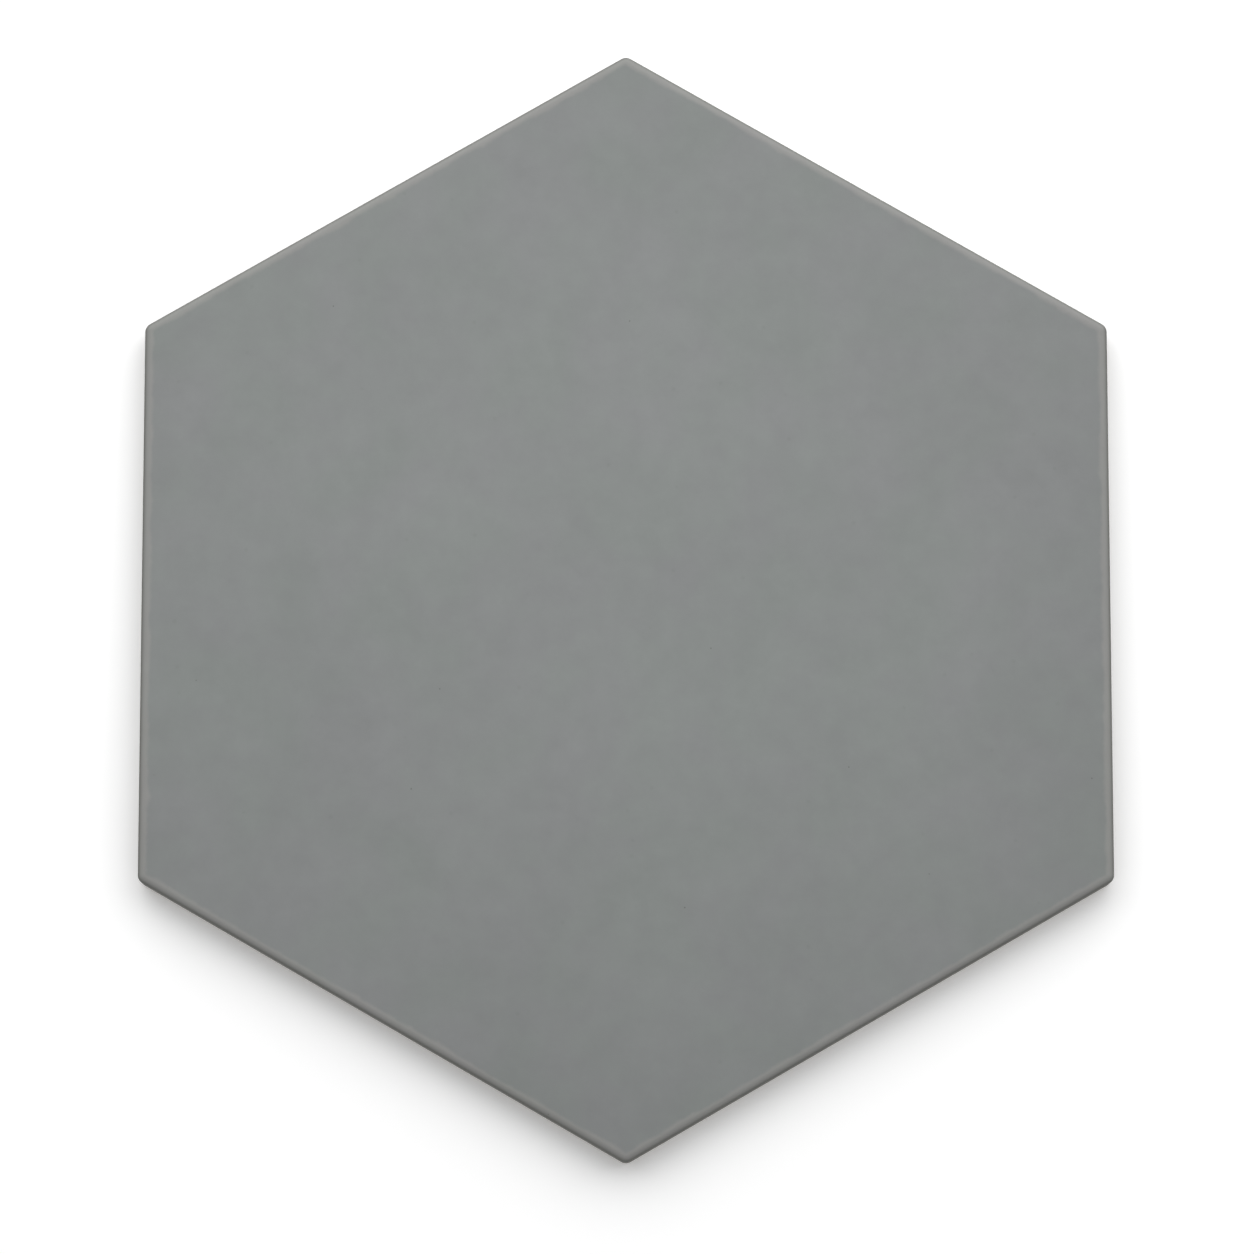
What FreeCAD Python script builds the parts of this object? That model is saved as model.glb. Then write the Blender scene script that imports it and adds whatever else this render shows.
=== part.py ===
import FreeCAD, Part
import enum
import math
import os
import Sketcher

# Hexagon floor tile, pressed and fired in one piece.
# It lies on its back with the walking face up. The origin is the middle of the back,
# +Z is up, X runs across two flats and Y runs from point to point. Millimetres.

DRIVING_SIZES = [
    ("across_flats", 215.0, "Width of the tile between two opposite walls"),
    ("thickness", 8.5, "Height from the back to the walking face"),
    ("arris_radius", 1.7, "Round of the eased edge between the walking face and the walls"),
    ("face_corner_radius", 0.4, "Round left at a corner of the walking face, inside the arris"),
    ("back_bevel", 0.8, "Bevel along the lower edge of the walls"),
    ("rim_width", 11.0, "Width of the plain rim between the walls and the key cells"),
    ("rib_width", 3.0, "Width of the rib between two key cells"),
    ("ring_count", 5, "Rings of key cells around the middle one"),
    ("cell_depth", 0.8, "Depth of a key cell"),
    ("cell_draft", 35.0, "Slope of a key cell's walls away from the vertical, in degrees"),
]

# The key cells fill the back inside its rim. From the middle towards a wall lie the rings, the
# corner of an outermost cell and the rim, and a cell is as wide as the ribs leave it.
CELL_PITCH = (
    "((Sizes.across_flats / 2 - Sizes.rim_width + Sizes.rib_width / sqrt(3))"
    " / (Sizes.ring_count * cos(30 deg) + 1 / sqrt(3)))"
)
CELL_ACROSS = f"({CELL_PITCH} - Sizes.rib_width)"

SIDES = 6
LOZENGES = 3
SKETCH_ORIGIN = (-1, 1)


class Point(enum.IntEnum):
    """The points of a line or a circle, as a constraint numbers them."""

    START = enum.auto()
    END = enum.auto()
    CENTRE = enum.auto()


def make_sheet(document):
    """The driving dimensions, one to a row: name, value, meaning."""
    sheet = document.addObject("Spreadsheet::Sheet", "Sizes")
    for row, (alias, value, meaning) in enumerate(DRIVING_SIZES, start=1):
        sheet.set(f"A{row}", alias)
        sheet.set(f"B{row}", str(value))
        sheet.setAlias(f"B{row}", alias)
        sheet.set(f"C{row}", meaning)
    document.recompute()
    return sheet


def sketch_on_back(body, name):
    """An empty sketch on the plane that the tile's back lies in."""
    plane = next(item for item in body.Origin.OriginFeatures if item.Role == "XY_Plane")
    sketch = body.newObject("Sketcher::SketchObject", name)
    sketch.AttachmentSupport = [(plane, "")]
    sketch.MapMode = "FlatFace"
    return sketch


def constrain(sketch, *terms):
    """Adds one constraint and returns its index."""
    return sketch.addConstraint(Sketcher.Constraint(*terms))


def dimension(sketch, name, expression, *terms):
    """Adds one dimension and ties it to the sheet."""
    index = constrain(sketch, *terms)
    sketch.renameConstraint(index, name)
    sketch.setExpression(f"Constraints.{name}", expression)


def draw_hexagon(sketch, across, first_corner_degrees, centre_y):
    """A regular hexagon inside a construction circle. Returns its first side and the circle."""
    centre = FreeCAD.Vector(0, centre_y, 0)
    reach = across / 2.0 / math.cos(math.pi / SIDES)
    corners = []
    for number in range(SIDES):
        angle = math.radians(first_corner_degrees + number * 360.0 / SIDES)
        corners.append(centre + FreeCAD.Vector(math.cos(angle), math.sin(angle), 0) * reach)
    sides = []
    for number in range(SIDES):
        line = Part.LineSegment(corners[number], corners[(number + 1) % SIDES])
        sides.append(sketch.addGeometry(line, False))
    circle = sketch.addGeometry(Part.Circle(centre, FreeCAD.Vector(0, 0, 1), reach), True)
    for number, side in enumerate(sides):
        constrain(sketch, "Coincident", side, Point.END, sides[(number + 1) % SIDES], Point.START)
        constrain(sketch, "PointOnObject", side, Point.START, circle)
        if number:
            constrain(sketch, "Equal", sides[0], side)
    return sides[0], circle


def outline_sketch(body, across):
    """The tile's outline with sharp corners. Its sides run round from the +X one, upwards."""
    sketch = sketch_on_back(body, "Outline")
    side, circle = draw_hexagon(sketch, across, -30.0, 0.0)
    constrain(sketch, "Vertical", side)
    constrain(sketch, "Coincident", circle, Point.CENTRE, *SKETCH_ORIGIN)
    from_middle = ("Distance", circle, Point.CENTRE, side, across / 2.0)
    dimension(sketch, "HalfAcross", "Sizes.across_flats / 2", *from_middle)
    return sketch


def cell_sketch(body, name, across, centre_y):
    """One key cell with a flat towards +Y: the middle one, or the one a pitch further up."""
    sketch = sketch_on_back(body, name)
    side, circle = draw_hexagon(sketch, across, 60.0, centre_y)
    constrain(sketch, "Horizontal", side)
    from_middle = ("Distance", circle, Point.CENTRE, side, across / 2.0)
    dimension(sketch, "HalfCell", f"{CELL_ACROSS} / 2", *from_middle)
    if centre_y:
        constrain(sketch, "Vertical", *SKETCH_ORIGIN, circle, Point.CENTRE)
        up_from_origin = ("DistanceY", *SKETCH_ORIGIN, circle, Point.CENTRE, centre_y)
        dimension(sketch, "Pitch", CELL_PITCH, *up_from_origin)
    else:
        constrain(sketch, "Coincident", circle, Point.CENTRE, *SKETCH_ORIGIN)
    return sketch


def press_cell(body, name, sketch):
    """Presses one key cell upwards into the back, narrower as it goes in."""
    pocket = body.newObject("PartDesign::Pocket", name)
    pocket.Profile = sketch
    pocket.Reversed = True
    pocket.setExpression("Length", "Sizes.cell_depth")
    pocket.setExpression("TaperAngle", "-Sizes.cell_draft * 1 deg")
    body.Tip = pocket
    return pocket


def row_of_cells(document, name, outline, side, count):
    """Repeats cells along one side of the tile's outline."""
    row = document.addObject("PartDesign::LinearPattern", name)
    row.Direction = (outline, [side])
    row.Mode = "Spacing"
    row.setExpression("Offset", CELL_PITCH)
    row.setExpression("Occurrences", count)
    return row


def cell_field(body, outline, first_cell):
    """All the rings: a lozenge of cells, whose rows run along the sides, turned to three places."""
    field = body.newObject("PartDesign::MultiTransform", "CellField")
    field.Originals = [first_cell]
    field.Refine = False
    outwards = row_of_cells(body.Document, "CellsOutwards", outline, "Edge1", "Sizes.ring_count")
    sideways = row_of_cells(body.Document, "CellsSideways", outline, "Edge3", "Sizes.ring_count + 1")
    turned = body.Document.addObject("PartDesign::PolarPattern", "CellsTurned")
    turned.Axis = (outline, ["N_Axis"])
    turned.Angle = 360.0
    turned.Occurrences = LOZENGES
    field.Transformations = [outwards, sideways, turned]
    body.Tip = field
    return field


def edges_where(shape, wanted):
    """Names of the edges that a test picks, for a fillet or a chamfer."""
    return [f"Edge{number}" for number, edge in enumerate(shape.Edges, start=1) if wanted(edge)]


def round_edges(body, name, base, edges, radius):
    """Rounds some edges of the feature before it."""
    fillet = body.newObject("PartDesign::Fillet", name)
    fillet.Base = (base, edges)
    fillet.setExpression("Radius", radius)
    body.Document.recompute()
    return fillet


def build_tile(document, sheet):
    """The tile: slab, rounded corners, arris, back bevel, then the key cells."""
    body = document.addObject("PartDesign::Body", "hexagon_tile")
    body.Label = "hexagon_tile"
    middle = sheet.thickness / 2.0

    slab = body.newObject("PartDesign::Pad", "Slab")
    slab.Profile = outline_sketch(body, sheet.across_flats)
    slab.setExpression("Length", "Sizes.thickness")
    document.recompute()

    upright = edges_where(slab.Shape, lambda edge: edge.BoundBox.ZLength > middle)
    corner_radius = "Sizes.arris_radius + Sizes.face_corner_radius"
    corners = round_edges(body, "Corners", slab, upright, corner_radius)

    upper = edges_where(corners.Shape, lambda edge: edge.BoundBox.ZMin > middle)
    arris = round_edges(body, "Arris", corners, upper, "Sizes.arris_radius")

    lower = edges_where(arris.Shape, lambda edge: edge.BoundBox.ZMax < sheet.back_bevel / 2.0)
    bevel = body.newObject("PartDesign::Chamfer", "BackBevel")
    bevel.Base = (arris, lower)
    bevel.setExpression("Size", "Sizes.back_bevel")

    across = sheet.evalExpression(CELL_ACROSS)
    pitch = sheet.evalExpression(CELL_PITCH)
    press_cell(body, "MiddleCell", cell_sketch(body, "MiddleCellOutline", across, 0.0))
    first_cell = press_cell(body, "FirstCell", cell_sketch(body, "FirstCellOutline", across, pitch))
    cell_field(body, slab.Profile[0], first_cell)
    document.recompute()
    return body


def check_document(document):
    """Stops if a step of the document failed."""
    for item in document.Objects:
        if "Invalid" in item.State or "Error" in item.State:
            raise RuntimeError(f"{item.Name} failed: {item.State}")


def check_tile(body, sheet):
    """Stops if the tile isn't one sound solid with every key cell pressed into it."""
    tile = body.Shape
    if tile.isNull() or not tile.isValid() or len(tile.Solids) != 1:
        raise RuntimeError("hexagon_tile isn't one valid solid")
    rings = int(sheet.ring_count)
    cell_count = 1 + LOZENGES * rings * (rings + 1)
    one_cell = body.Document.BackBevel.Shape.Volume - body.Document.MiddleCell.Shape.Volume
    all_cells = body.Document.BackBevel.Shape.Volume - tile.Volume
    if one_cell <= 0 or abs(all_cells / one_cell - cell_count) > 0.01:
        raise RuntimeError(f"{all_cells / one_cell:.2f} key cells were pressed, not {cell_count}")
    print(f"{cell_count} key cells, {tile.Volume / 1000.0:.1f} cm3, {len(tile.Faces)} faces")


def main():
    document = FreeCAD.newDocument("HexagonFloorTile")
    sheet = make_sheet(document)
    tile = build_tile(document, sheet)
    check_document(document)
    check_tile(tile, sheet)
    os.makedirs("parts", exist_ok=True)
    tile.Shape.exportStep(f"parts/{tile.Label}.step")


main()
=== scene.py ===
import math

import bmesh
import bpy
from mathutils import Matrix, Vector


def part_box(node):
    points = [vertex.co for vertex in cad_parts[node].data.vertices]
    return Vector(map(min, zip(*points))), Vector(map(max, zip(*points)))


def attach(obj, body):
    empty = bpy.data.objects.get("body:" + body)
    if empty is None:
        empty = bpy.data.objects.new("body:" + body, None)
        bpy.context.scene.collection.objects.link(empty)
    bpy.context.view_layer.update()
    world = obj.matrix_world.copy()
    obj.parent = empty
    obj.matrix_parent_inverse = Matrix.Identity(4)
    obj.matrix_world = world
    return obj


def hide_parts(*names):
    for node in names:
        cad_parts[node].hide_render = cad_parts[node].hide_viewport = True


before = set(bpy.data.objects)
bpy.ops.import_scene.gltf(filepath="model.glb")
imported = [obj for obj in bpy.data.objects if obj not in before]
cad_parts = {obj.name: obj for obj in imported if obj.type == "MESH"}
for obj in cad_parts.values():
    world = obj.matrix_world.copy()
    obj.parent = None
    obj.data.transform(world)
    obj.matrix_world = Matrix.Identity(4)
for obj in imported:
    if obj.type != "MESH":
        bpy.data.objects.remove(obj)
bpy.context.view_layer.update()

# A matte grey hexagon floor tile, lying on its back, seen from above. Metres throughout.
# X runs across two flats, Y from corner to corner, and Z out of the walking face.

MM = 0.001
CORNERS = 6
TURN = math.radians(360 / CORNERS)
THIRD = 2 * TURN
RIGHT_ANGLE = math.radians(90)
TOUCH = 0.01 * MM

TILE_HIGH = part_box("hexagon_tile")[1]
HALF_ACROSS = TILE_HIGH.x
THICKNESS = TILE_HIGH.z
ARRIS = 1.7 * MM
FACE_CORNER = 0.4 * MM
BACK_BEVEL = 0.8 * MM
RIM = 11 * MM
RIB = 3 * MM
RINGS = 5
CELL_DEPTH = 0.8 * MM
CELL_DRAFT = math.radians(35)
CELL_CORNER = 1.1 * MM
CELL_ROUND = 0.2 * MM

# From the middle towards a wall lie the rings, the corner of an outermost cell and the rim.
PITCH = (HALF_ACROSS - RIM + RIB / math.sqrt(3)) / (RINGS * math.cos(TURN / 2) + 1 / math.sqrt(3))

# The section of the edge is drawn along a sharp-cornered hexagon that lies inside the arris.
TRACK = HALF_ACROSS - ARRIS - FACE_CORNER
TRACK_SIDE = TRACK / math.cos(TURN / 2)

ARRIS_STEPS = 10
CORNER_STEPS = 7
SIDE_STEPS = 64
CELL_CORNER_STEPS = 3
CELL_ROUND_STEPS = 2
SMOOTH_BELOW = math.radians(40)


def screen_colour(red, green, blue):
    """A colour as a screen shows it, from 0 to 255, in the linear light that a shader takes."""
    return (*(((part / 255 + 0.055) / 1.055) ** 2.4 for part in (red, green, blue)), 1.0)


WHITE = (1.0, 1.0, 1.0, 1.0)
GLAZE = screen_colour(135, 137, 137)
OLIVE_GLAZE = screen_colour(132, 136, 134)
# The pale band on the arris crest: thinning glaze that is also a painted highlight.
THIN_GLAZE_AND_HIGHLIGHT = screen_colour(166, 161, 156)
# Painted shade on the steep arris and the walls.
SHADED_WALL_GLAZE = screen_colour(105, 106, 102)
PINHOLE = screen_colour(62, 62, 60)
BODY = screen_colour(134, 128, 119)
IRON = screen_colour(92, 78, 66)

GLAZE_ROUGHNESS = 0.7
BODY_ROUGHNESS = 0.85
DULL_GLOSS = 0.2
GLAZE_RELIEF = 0.01 * MM
BODY_RELIEF = 0.05 * MM

# Each kind of cloud and speck in the two finishes, with the values that its effect takes.
BROAD_CLOUDS = {"Patch": 45 * MM, "Depth": 0.175}
FINE_CLOUDS = {"Patch": 5 * MM, "Depth": 0.175}
HUE_CLOUDS = {"Patch": 20 * MM, "Depth": 1.0}
EDGE_CLOUDS = {"Patch": 6 * MM, "Depth": 1.0}
GLAZE_GRAIN = {"Patch": 0.5 * MM, "Depth": 1.0}
BODY_CLOUDS = {"Patch": 30 * MM, "Depth": 0.25}
BODY_SAND = {"Patch": 0.6 * MM, "Depth": 0.35}
PINHOLES = {"Spacing": 6 * MM, "Radius": 0.22 * MM, "Share": 0.2}
STAINS = {"Spacing": 5 * MM, "Radius": 0.6 * MM, "Share": 0.3}
IRON_SPECKS = {"Spacing": 3.5 * MM, "Radius": 0.3 * MM, "Share": 0.4}
PINHOLE_STRENGTH = 0.5
STAIN_STRENGTH = 0.05
IRON_STRENGTH = 0.5
OLIVE_FROM = 0.8
OLIVE_TO = 1.2

# The face carries a painted pool of light, brightest over a point near the middle, that loses tone
# with the square of the distance from it. The glaze is pale where it thins along the edge of the
# face, a band that is also a painted highlight, and painted shade darkens the arris and the walls.
# The glaze ends at an uneven line just above their foot and is all gone a little below that.
LIGHT_POOL_MIDDLE = (-15 * MM, 20 * MM, THICKNESS)
LIGHT_POOL_LOSS = 5.2
THIN_AND_HIGHLIGHT_SHARE = 0.26
THIN_AND_HIGHLIGHT_FROM = 2.5 * MM
THIN_AND_HIGHLIGHT_TO = 1.5 * MM
WALL_SHADE_FROM = THICKNESS - 0.05 * ARRIS
WALL_SHADE_TO = THICKNESS - 0.6 * ARRIS
FOOT_SHARE = 0.2
BARE_FOOT = 0.8 * MM
BARE_BELOW = 0.6

# The room gives soft light all round, and more of it from steeply below. The lamp's place is its
# turn round the tile, its height above the floor as an angle, and how far away it is.
SOFT_LIGHT = 0.5
FLOOR_LIGHT = 0.95
FLOOR_LIGHT_FROM = -0.3
FLOOR_LIGHT_TO = -0.8
LAMP_ROUND = math.radians(85)
LAMP_UP = math.radians(43.5)
LAMP_AWAY = 0.62
LAMP_WIDTH = 1.92
LAMP_HEIGHT = 1.16
LAMP_WATTS = 8.3

# The floor is a little over white where the light is full, so that only the shadow shows on it.
# Past the reach of the shadow it goes over into plain white.
FLOOR_WIDTH = 6.0
FLOOR_COLOUR = (1.15, 1.15, 1.15, 1.0)
SHADOW_REACH = 0.16
SHADOW_END = 0.22
UNDER_TILE = 0.05 * MM

CAMERA_TILT = math.radians(8)
CAMERA_AWAY = 1.11
CAMERA_LENS = 142.8
CAMERA_SENSOR = 36.0
CAMERA_AIM = Vector((0.23, -4.73, 0.0)) * MM


def begin(name):
    """Names the primitive just added, lays its place into its mesh and opens it for editing."""
    shape = bpy.context.object
    shape.name = name
    bpy.ops.object.transform_apply(location=True, rotation=True, scale=True)
    bpy.ops.object.mode_set(mode="EDIT")
    return shape


def end(shape):
    """Leaves edit mode with nothing selected."""
    bpy.ops.object.mode_set(mode="OBJECT")
    bpy.ops.object.select_all(action="DESELECT")
    return shape


def middle_of(item):
    """Where a vertex is, or the middle of the vertices of an edge or a face."""
    corners = [corner.co for corner in getattr(item, "verts", [])] or [item.co]
    return sum(corners, Vector()) / len(corners)


def pick(kind, wanted):
    """In edit mode, selects the VERT, EDGE or FACE items whose middle passes a test."""
    bpy.ops.mesh.select_mode(type=kind)
    bpy.ops.mesh.select_all(action="DESELECT")
    mesh = bpy.context.edit_object.data
    shape = bmesh.from_edit_mesh(mesh)
    items = {"VERT": shape.verts, "EDGE": shape.edges, "FACE": shape.faces}[kind]
    for item in items:
        item.select_set(wanted(middle_of(item)))
    shape.select_flush_mode()
    bmesh.update_edit_mesh(mesh)


def merge_all():
    """Joins the points that lie on each other."""
    bpy.ops.mesh.select_all(action="SELECT")
    bpy.ops.mesh.remove_doubles(threshold=TOUCH)


def join(shapes):
    """Makes one shape of several."""
    for shape in shapes:
        shape.select_set(True)
    bpy.context.view_layer.objects.active = shapes[0]
    bpy.ops.object.join()
    return shapes[0]


def draw_on(start, strokes):
    """Lengthens the open section from one of its ends, stroke by stroke."""
    pick("VERT", start)
    for stroke in strokes:
        bpy.ops.mesh.extrude_region_move(TRANSFORM_OT_translate={"value": stroke})


def edge_section():
    """The arris, wall and back bevel in section, standing at the upper end of the +X side."""
    arc_x = HALF_ACROSS - ARRIS
    arc_z = THICKNESS - ARRIS
    bpy.ops.mesh.primitive_circle_add(
        vertices=4 * ARRIS_STEPS,
        radius=ARRIS,
        location=(arc_x, TRACK_SIDE / 2, arc_z),
        rotation=(RIGHT_ANGLE, 0, 0),
    )
    section = begin("edge")
    pick("VERT", lambda at: at.x < arc_x - TOUCH or at.z < arc_z - TOUCH)
    bpy.ops.mesh.delete(type="VERT")
    draw_on(lambda at: at.z > THICKNESS - TOUCH, [(-FACE_CORNER, 0, 0)])
    wall_bevel_and_back = [
        (0, 0, BACK_BEVEL - arc_z),
        (-BACK_BEVEL, 0, -BACK_BEVEL),
        (TRACK + BACK_BEVEL - HALF_ACROSS, 0, 0),
    ]
    draw_on(lambda at: at.x > HALF_ACROSS - TOUCH, wall_bevel_and_back)
    return section


def tile_edge():
    """Draws the section down each side in turn and spins it round the corner that follows."""
    edge = edge_section()
    bpy.ops.mesh.select_all(action="SELECT")
    for number in range(CORNERS):
        facing = Matrix.Rotation(-number * TURN, 3, "Z")
        side = facing @ Vector((0, -TRACK_SIDE, 0))
        corner = facing @ Vector((TRACK, -TRACK_SIDE / 2, 0))
        bpy.ops.mesh.extrude_repeat(steps=SIDE_STEPS, offset=side / SIDE_STEPS)
        bpy.ops.mesh.spin(steps=CORNER_STEPS, angle=TURN, center=corner, axis=(0, 0, 1))
    merge_all()
    return end(edge)


def every_other_spoke(at):
    """True towards the top corner and the two that lie a third of a turn from it."""
    from_top = math.atan2(at.y, at.x) - RIGHT_ANGLE
    return math.cos(from_top * CORNERS / 2) > 0


def walking_face():
    """The flat of the face, an even net of small faces laid in three lozenges."""
    bpy.ops.mesh.primitive_circle_add(
        vertices=CORNERS, radius=TRACK_SIDE, fill_type="TRIFAN", location=(0, 0, THICKNESS)
    )
    face = begin("face")
    pick("EDGE", lambda at: at.xy.length < TRACK - TOUCH and every_other_spoke(at))
    bpy.ops.mesh.dissolve_edges()
    bpy.ops.mesh.select_all(action="SELECT")
    bpy.ops.mesh.subdivide(number_cuts=SIDE_STEPS - 1)
    return end(face)


def key_cell():
    """One key cell of the back, with its half of the ribs around it."""
    bpy.ops.mesh.primitive_circle_add(
        vertices=CORNERS,
        radius=PITCH / math.sqrt(3),
        fill_type="NGON",
        rotation=(math.pi, 0, TURN / 2),
    )
    cell = begin("key_cell")
    bpy.ops.mesh.select_all(action="SELECT")
    bpy.ops.mesh.inset(thickness=RIB / 2)
    bpy.ops.mesh.inset(thickness=CELL_DEPTH * math.tan(CELL_DRAFT), depth=-CELL_DEPTH)
    pick("EDGE", lambda at: TOUCH < at.z < CELL_DEPTH - TOUCH)
    bpy.ops.mesh.bevel(offset=CELL_CORNER, segments=CELL_CORNER_STEPS)
    pick("EDGE", lambda at: at.z > CELL_DEPTH - TOUCH)
    bpy.ops.mesh.bevel(offset=CELL_ROUND, segments=CELL_ROUND_STEPS)
    return end(cell)


def key_pattern():
    """All the cells: one lozenge of them, turned to three places round the middle one."""
    middle = key_cell()
    middle.select_set(True)
    bpy.context.view_layer.objects.active = middle
    bpy.ops.object.duplicate()
    lozenge = bpy.context.object
    bpy.ops.object.mode_set(mode="EDIT")
    bpy.ops.mesh.select_all(action="SELECT")
    bpy.ops.transform.translate(value=(0, PITCH, 0))
    bpy.ops.object.mode_set(mode="OBJECT")
    outwards = Vector((0, PITCH, 0))
    sideways = Matrix.Rotation(THIRD, 3, "Z") @ outwards
    for name, count, step in (("outwards", RINGS, outwards), ("sideways", RINGS + 1, sideways)):
        row = lozenge.modifiers.new(name, "ARRAY")
        row.count = count
        row.use_relative_offset = False
        row.use_constant_offset = True
        row.constant_offset_displace = step
        bpy.ops.object.modifier_apply(modifier=name)
    bpy.ops.object.mode_set(mode="EDIT")
    bpy.ops.mesh.select_all(action="SELECT")
    bpy.ops.mesh.spin(steps=2, dupli=True, angle=2 * THIRD, center=(0, 0, 0), axis=(0, 0, 1))
    end(lozenge)
    return join([lozenge, middle])


def whole_tile():
    """The tile as one closed shape: edge, face and key pattern, with the back's rim filled in."""
    tile = join([tile_edge(), walking_face(), key_pattern()])
    tile.name = "glazed_tile"
    bpy.ops.object.mode_set(mode="EDIT")
    merge_all()
    bpy.ops.mesh.select_mode(type="EDGE")
    bpy.ops.mesh.select_all(action="DESELECT")
    bpy.ops.mesh.select_non_manifold(use_non_contiguous=False, use_verts=False)
    bpy.ops.mesh.fill()
    bpy.ops.mesh.select_all(action="SELECT")
    bpy.ops.mesh.normals_make_consistent(inside=False)
    bpy.ops.object.mode_set(mode="OBJECT")
    bpy.ops.object.shade_smooth_by_angle(angle=SMOOTH_BELOW)
    return end(tile)


def dress(tile, glaze, body):
    """Puts the glaze on the face, the arris and the walls. The back and its bevel stay bare."""
    tile.data.materials.append(glaze)
    tile.data.materials.append(body)
    bpy.context.view_layer.objects.active = tile
    bpy.ops.object.mode_set(mode="EDIT")
    pick("FACE", lambda at: at.z < CELL_DEPTH + TOUCH)
    tile.active_material_index = tile.data.materials.find(body.name)
    bpy.ops.object.material_slot_assign()
    return end(tile)


def add(tree, kind, feeds=(), **options):
    """Adds a shader node, sets its options, and feeds its sockets with values or links."""
    made = tree.nodes.new(kind)
    for option, value in options.items():
        setattr(made, option, value)
    for socket, value in dict(feeds).items():
        if isinstance(value, bpy.types.NodeSocket):
            tree.links.new(value, made.inputs[socket])
        else:
            made.inputs[socket].default_value = value
    return made


def reckon(tree, operation, *values):
    """The result of a Math node."""
    return add(tree, "ShaderNodeMath", enumerate(values), operation=operation).outputs["Value"]


def ramp(tree, value, start, finish, low=0.0, high=1.0):
    """Goes smoothly from low to high while a value goes from start to finish."""
    feeds = {"Value": value, "From Min": start, "From Max": finish, "To Min": low, "To Max": high}
    made = add(tree, "ShaderNodeMapRange", feeds, interpolation_type="SMOOTHSTEP")
    return made.outputs["Result"]


def mixed(tree, factor, first, second, way="MIX"):
    """Goes by a factor from one colour to a second, or to the two blended in another way."""
    # A Mix node's colours share their names with its other sockets, so they go by number.
    feeds = {"Factor": factor, 6: first, 7: second}
    return add(tree, "ShaderNodeMix", feeds, data_type="RGBA", blend_type=way).outputs[2]


def either(tree, factor, first, second):
    """Goes by a factor from one shader to a second."""
    feeds = {0: factor, 1: first, 2: second}
    return add(tree, "ShaderNodeMixShader", feeds).outputs["Shader"]


def toned(tree, colour, tone):
    """A colour made lighter or darker by a tone around 1."""
    grey = add(tree, "ShaderNodeCombineColor", {"Red": tone, "Green": tone, "Blue": tone})
    return mixed(tree, 1.0, colour, grey.outputs["Color"], "MULTIPLY")


def effect(name, takes, gives):
    """A new node group with named inputs and outputs, and the ends that its nodes hang on."""
    tree = bpy.data.node_groups.new(name, "ShaderNodeTree")
    for label, kind in takes.items():
        tree.interface.new_socket(name=label, in_out="INPUT", socket_type=f"NodeSocket{kind}")
    for label, kind in gives.items():
        tree.interface.new_socket(name=label, in_out="OUTPUT", socket_type=f"NodeSocket{kind}")
    given = tree.nodes.new("NodeGroupInput").outputs
    result = tree.nodes.new("NodeGroupOutput").inputs
    return tree, given, result


def laid(tree, group, place, values=()):
    """What comes out of an effect that is laid over a piece with its own values."""
    feeds = {"Vector": place, **dict(values)}
    return add(tree, "ShaderNodeGroup", feeds, node_tree=group).outputs


def clouds_effect():
    """Soft patches a little lighter and darker than what lies round them."""
    takes = {"Vector": "Vector", "Patch": "Float", "Depth": "Float"}
    tree, given, result = effect("clouds", takes, {"Tone": "Float"})
    scale = reckon(tree, "DIVIDE", 1.0, given["Patch"])
    feeds = {"Vector": given["Vector"], "Scale": scale, "Detail": 4.0, "Roughness": 0.6}
    noise = add(tree, "ShaderNodeTexNoise", feeds)
    swing = reckon(tree, "SUBTRACT", noise.outputs[0], 0.5)
    tree.links.new(reckon(tree, "MULTIPLY_ADD", swing, given["Depth"], 1.0), result["Tone"])
    return tree


def specks_effect():
    """Small round specks scattered through the material. Share says how many places hold one."""
    takes = {"Vector": "Vector", "Spacing": "Float", "Radius": "Float", "Share": "Float"}
    tree, given, result = effect("specks", takes, {"Mask": "Float"})
    scale = reckon(tree, "DIVIDE", 1.0, given["Spacing"])
    cells = add(tree, "ShaderNodeTexVoronoi", {"Vector": given["Vector"], "Scale": scale})
    away = reckon(tree, "MULTIPLY", cells.outputs["Distance"], given["Spacing"])
    inside = ramp(tree, away, given["Radius"], reckon(tree, "MULTIPLY", given["Radius"], 0.5))
    lot = add(tree, "ShaderNodeSeparateColor", {"Color": cells.outputs["Color"]}).outputs["Red"]
    drawn = reckon(tree, "LESS_THAN", lot, given["Share"])
    tree.links.new(reckon(tree, "MULTIPLY", inside, drawn), result["Mask"])
    return tree


def fired_body_effect(clouds, specks):
    """The bare body as the kiln leaves it: warm grey, sandy, with a few iron specks."""
    gives = {"Color": "Color", "Height": "Float"}
    tree, given, result = effect("fired body", {"Vector": "Vector"}, gives)
    place = given["Vector"]
    sand = laid(tree, clouds, place, BODY_SAND)["Tone"]
    spots = laid(tree, specks, place, IRON_SPECKS)["Mask"]
    body = toned(tree, BODY, laid(tree, clouds, place, BODY_CLOUDS)["Tone"])
    body = toned(tree, body, sand)
    body = mixed(tree, reckon(tree, "MULTIPLY", spots, IRON_STRENGTH), body, IRON)
    tree.links.new(body, result["Color"])
    tree.links.new(sand, result["Height"])
    return tree


def new_finish(name):
    """A material with an empty node tree, and the tile's own coordinates in it."""
    finish = bpy.data.materials.new(name)
    finish.use_nodes = True
    tree = finish.node_tree
    tree.nodes.clear()
    return finish, tree, add(tree, "ShaderNodeTexCoord").outputs["Object"]


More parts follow.
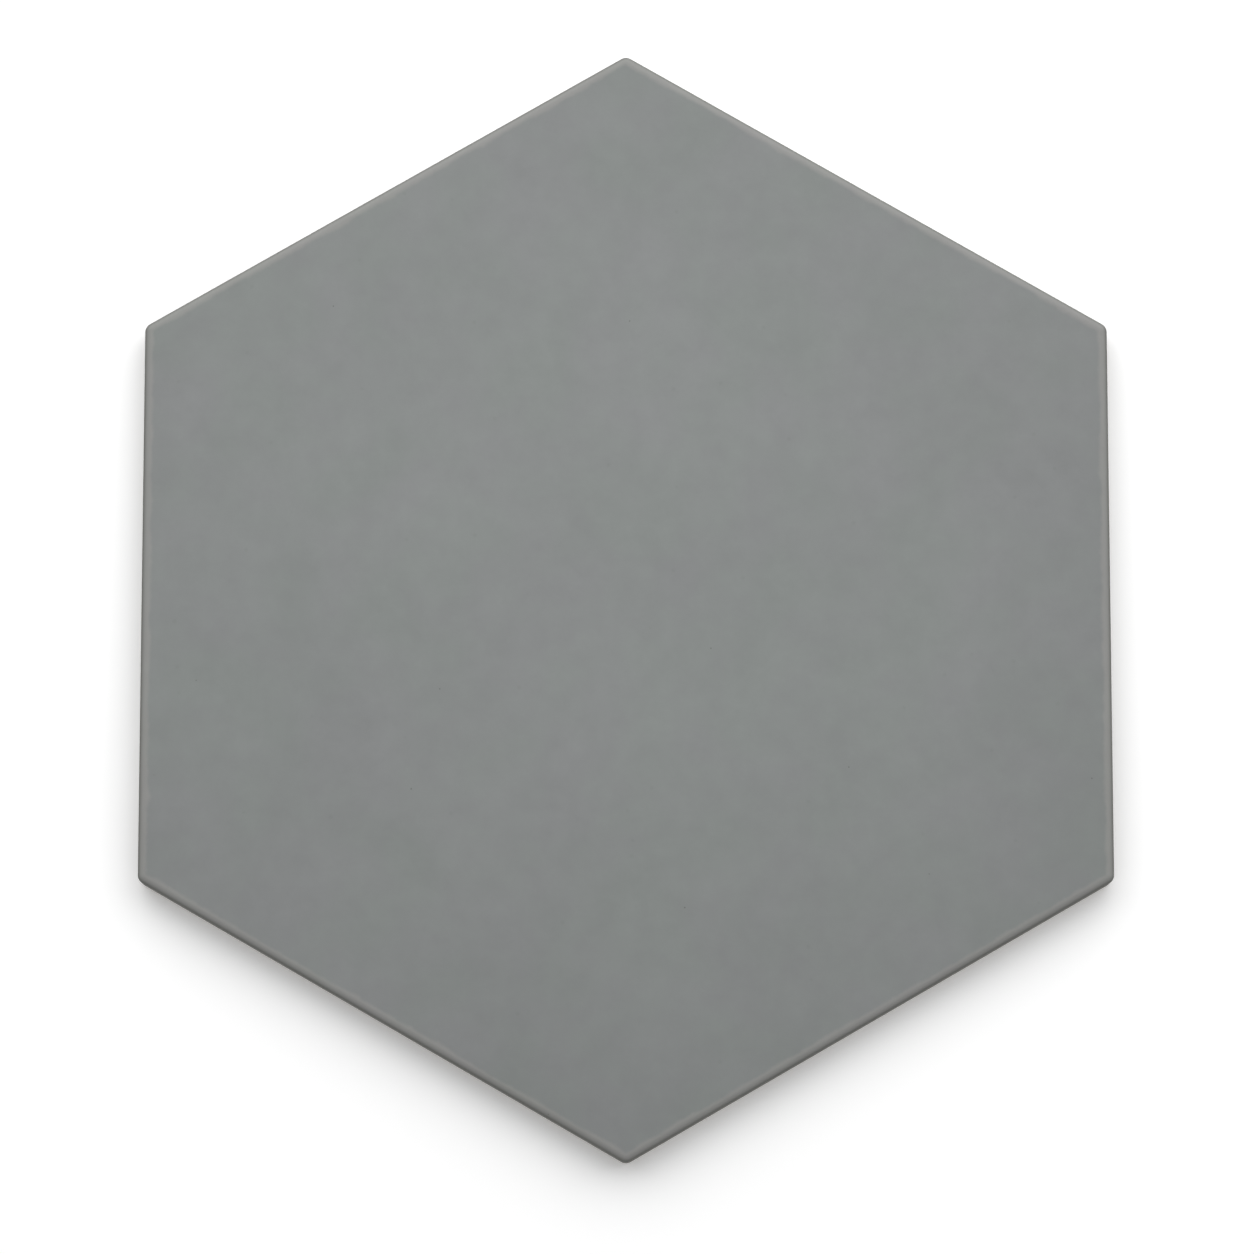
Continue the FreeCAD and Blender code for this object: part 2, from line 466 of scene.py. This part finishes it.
def fired_surface(tree, colour, roughness, relief, depth):
    """Ends a material with a dull fired surface, its relief as deep as given."""
    bump = add(tree, "ShaderNodeBump", {"Distance": depth, "Height": relief})
    feeds = {
        "Base Color": colour,
        "Roughness": roughness,
        "Specular IOR Level": DULL_GLOSS,
        "Normal": bump.outputs["Normal"],
    }
    surface = add(tree, "ShaderNodeBsdfPrincipled", feeds).outputs["BSDF"]
    add(tree, "ShaderNodeOutputMaterial", {"Surface": surface})


def from_outline(tree, place):
    """How far a point lies inside the tile's outline, seen from above."""
    parts = add(tree, "ShaderNodeSeparateXYZ", {"Vector": place}).outputs
    across = reckon(tree, "ABSOLUTE", parts["X"])
    along = reckon(tree, "ABSOLUTE", parts["Y"])
    upwards = reckon(tree, "MULTIPLY", along, math.sin(TURN))
    slanting = reckon(tree, "MULTIPLY_ADD", across, math.cos(TURN), upwards)
    furthest = reckon(tree, "MAXIMUM", across, slanting)
    return reckon(tree, "SUBTRACT", HALF_ACROSS, furthest)


def glaze_under_light_pool(tree, clouds, place):
    """The glaze of the walking face, which drifts faintly in hue and in tone, under a painted pool
    of light.
    """
    olive = ramp(tree, laid(tree, clouds, place, HUE_CLOUDS)["Tone"], OLIVE_FROM, OLIVE_TO)
    # A painted pool of light: the colour loses tone with the squared distance from its middle.
    feeds = {0: place, 1: LIGHT_POOL_MIDDLE}
    away = add(tree, "ShaderNodeVectorMath", feeds, operation="DISTANCE").outputs["Value"]
    squared = reckon(tree, "MULTIPLY", away, away)
    colour = mixed(tree, olive, GLAZE, OLIVE_GLAZE)
    colour = toned(tree, colour, reckon(tree, "MULTIPLY_ADD", squared, -LIGHT_POOL_LOSS, 1.0))
    colour = toned(tree, colour, laid(tree, clouds, place, BROAD_CLOUDS)["Tone"])
    return toned(tree, colour, laid(tree, clouds, place, FINE_CLOUDS)["Tone"])


def matte_grey_glaze(clouds, specks, fired_body):
    """A matte glaze with faint clouds and pinholes, pale where it thins on the arris, which also
    carries a painted highlight, and with painted shade down the arris and walls.
    """
    finish, tree, place = new_finish("matte grey glaze")
    body = laid(tree, fired_body, place)["Color"]
    wander = laid(tree, clouds, place, EDGE_CLOUDS)["Tone"]
    pinholes = laid(tree, specks, place, PINHOLES)["Mask"]
    stains = laid(tree, specks, place, STAINS)["Mask"]
    grain = laid(tree, clouds, place, GLAZE_GRAIN)["Tone"]

    height = add(tree, "ShaderNodeSeparateXYZ", {"Vector": place}).outputs["Z"]
    inwards = reckon(tree, "MULTIPLY", from_outline(tree, place), wander)
    # A pale band along the crest: thinning glaze, and a painted highlight.
    thin_glaze_and_highlight = ramp(tree, inwards, THIN_AND_HIGHLIGHT_FROM, THIN_AND_HIGHLIGHT_TO, 0.0, THIN_AND_HIGHLIGHT_SHARE)
    # Painted shade: the steep arris and the walls go over into the dark wall colour.
    wall = ramp(tree, height, WALL_SHADE_FROM, WALL_SHADE_TO)
    foot = ramp(tree, height, THICKNESS - ARRIS, BACK_BEVEL, 0.0, FOOT_SHARE)
    glaze_end = reckon(tree, "MULTIPLY", wander, BARE_FOOT)
    bare = ramp(tree, height, glaze_end, reckon(tree, "MULTIPLY", glaze_end, BARE_BELOW))

    colour = glaze_under_light_pool(tree, clouds, place)
    colour = mixed(tree, reckon(tree, "MULTIPLY", stains, STAIN_STRENGTH), colour, PINHOLE)
    colour = mixed(tree, reckon(tree, "MULTIPLY", pinholes, PINHOLE_STRENGTH), colour, PINHOLE)
    colour = mixed(tree, thin_glaze_and_highlight, colour, THIN_GLAZE_AND_HIGHLIGHT)
    colour = mixed(tree, wall, colour, mixed(tree, foot, SHADED_WALL_GLAZE, body))
    colour = mixed(tree, bare, colour, body)
    roughness = ramp(tree, bare, 0.0, 1.0, GLAZE_ROUGHNESS, BODY_ROUGHNESS)
    relief = reckon(tree, "SUBTRACT", grain, pinholes)
    fired_surface(tree, colour, roughness, relief, GLAZE_RELIEF)
    return finish


def bare_back(fired_body):
    """The unglazed back, as it comes from the kiln."""
    finish, tree, place = new_finish("bare fired back")
    body = laid(tree, fired_body, place)
    fired_surface(tree, body["Color"], BODY_ROUGHNESS, body["Height"], BODY_RELIEF)
    return finish


def seen_directly(tree):
    """1 for what the camera sees, straight or in a gloss or a glass, and 0 for what only lights."""
    rays = add(tree, "ShaderNodeLightPath").outputs
    seen = reckon(tree, "MAXIMUM", rays["Is Camera Ray"], rays["Is Glossy Ray"])
    return reckon(tree, "MAXIMUM", seen, rays["Is Transmission Ray"])


def pale_floor():
    """A level pale floor, white round the tile's soft shadow. It is seen through from below."""
    bpy.ops.mesh.primitive_plane_add(size=FLOOR_WIDTH, location=(0, 0, -UNDER_TILE))
    floor = bpy.context.object
    floor.name = "floor"
    floor.visible_diffuse = False
    floor.visible_shadow = False
    finish, tree, place = new_finish("pale floor")
    matt = add(tree, "ShaderNodeBsdfDiffuse", {"Color": FLOOR_COLOUR}).outputs["BSDF"]
    white = add(tree, "ShaderNodeEmission", {"Color": WHITE}).outputs["Emission"]
    clear = add(tree, "ShaderNodeBsdfTransparent").outputs["BSDF"]
    away = add(tree, "ShaderNodeVectorMath", {0: place}, operation="LENGTH").outputs["Value"]
    far = ramp(tree, away, SHADOW_REACH, SHADOW_END)
    below = add(tree, "ShaderNodeNewGeometry").outputs["Backfacing"]
    surface = either(tree, below, either(tree, far, matt, white), clear)
    add(tree, "ShaderNodeOutputMaterial", {"Surface": surface})
    floor.data.materials.append(finish)
    floor.select_set(False)
    return floor


def soft_room():
    """Even light from above and more of it from below, off the floor, in a room seen white."""
    world = bpy.data.worlds.new("room")
    world.use_nodes = True
    bpy.context.scene.world = world
    tree = world.node_tree
    tree.nodes.clear()
    direction = add(tree, "ShaderNodeTexCoord").outputs["Object"]
    upwards = add(tree, "ShaderNodeSeparateXYZ", {"Vector": direction}).outputs["Z"]
    light = ramp(tree, upwards, FLOOR_LIGHT_FROM, FLOOR_LIGHT_TO, SOFT_LIGHT, FLOOR_LIGHT)
    strength = ramp(tree, seen_directly(tree), 0.0, 1.0, light, 1.0)
    room = add(tree, "ShaderNodeBackground", {"Color": WHITE, "Strength": strength})
    add(tree, "ShaderNodeOutputWorld", {"Surface": room.outputs["Background"]})


def wide_lamp():
    """A wide soft lamp beyond the tile's top corner, low enough to draw a shadow at its foot."""
    level = math.cos(LAMP_UP)
    around = (level * math.cos(LAMP_ROUND), level * math.sin(LAMP_ROUND))
    towards = Vector((*around, math.sin(LAMP_UP)))
    facing = (-towards).to_track_quat("-Z", "Y").to_euler()
    bpy.ops.object.light_add(type="AREA", location=towards * LAMP_AWAY, rotation=facing)
    lamp = bpy.context.object
    lamp.name = "wide_lamp"
    lamp.visible_camera = False
    lamp.data.shape = "RECTANGLE"
    lamp.data.size = LAMP_WIDTH
    lamp.data.size_y = LAMP_HEIGHT
    lamp.data.energy = LAMP_WATTS
    lamp.select_set(False)


def camera_above():
    """A long lens that looks down on the face, from a little below the tile's middle."""
    back = Vector((0.0, -math.sin(CAMERA_TILT), math.cos(CAMERA_TILT)))
    place = CAMERA_AIM + back * CAMERA_AWAY
    bpy.ops.object.camera_add(location=place, rotation=(CAMERA_TILT, 0, 0))
    camera = bpy.context.object
    camera.name = "camera_above"
    camera.data.sensor_width = CAMERA_SENSOR
    camera.data.lens = CAMERA_LENS
    camera.select_set(False)
    bpy.context.scene.camera = camera


bpy.ops.object.select_all(action="DESELECT")
clouds = clouds_effect()
specks = specks_effect()
fired_body = fired_body_effect(clouds, specks)
glaze = matte_grey_glaze(clouds, specks, fired_body)
tile = dress(whole_tile(), glaze, bare_back(fired_body))
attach(tile, "root")
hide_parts("hexagon_tile")

pale_floor()
soft_room()
wide_lamp()
camera_above()
bpy.context.scene.view_settings.view_transform = "Standard"
